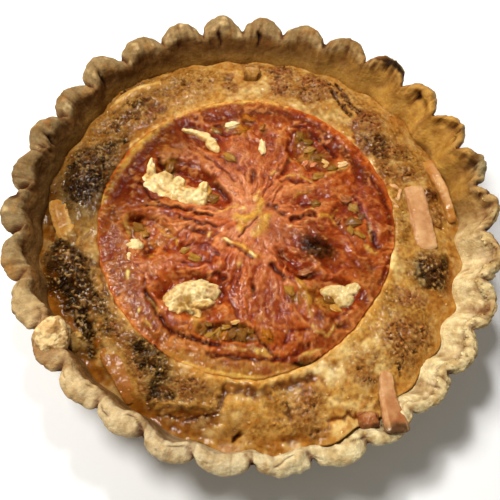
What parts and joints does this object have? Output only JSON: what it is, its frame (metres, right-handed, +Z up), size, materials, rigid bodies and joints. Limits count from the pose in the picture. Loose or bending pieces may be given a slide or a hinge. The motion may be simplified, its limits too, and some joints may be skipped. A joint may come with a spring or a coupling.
{
  "type": "quiche",
  "caption": "Small round quiche in a fluted pastry case, filled with egg custard and topped with a large tomato slice, ham, onion and curd.",
  "frame": {"origin": "centre of the bounding box on the surface the quiche stands on", "axes": "+Z up out of the filling, +X to the right and +Y to the back as the quiche is served"},
  "size_m": [0.1488, 0.1498, 0.0319],
  "materials": {
    "crust": "dry baked pastry, cream to golden brown",
    "custard": "set egg custard, golden, moist, scorched brown in patches",
    "tomato": "roasted tomato flesh, oily",
    "ham": "baked ham, pinkish tan, slightly oily",
    "onion": "soft translucent onion",
    "curd": "pale cream curd, moist"
  },
  "bodies": {
    "root": {"crust": "crust", "filling": "custard", "tomato_slice": "tomato", "ham_strip_right": "ham", "ham_strip_wall": "ham", "ham_strip_rim": "ham", "ham_strip_glazed": "ham", "ham_bit_rim": "ham", "ham_bit_top": "ham", "ham_bit_side": "ham", "onion_strip_left": "onion", "onion_strip_top": "onion", "onion_bit_left": "onion", "curd_upper_left": "curd", "curd_left": "curd", "curd_lower_left": "curd", "curd_lower_right": "curd", "curd_bottom": "curd", "curd_top": "curd"}
  },
  "joints": []
}
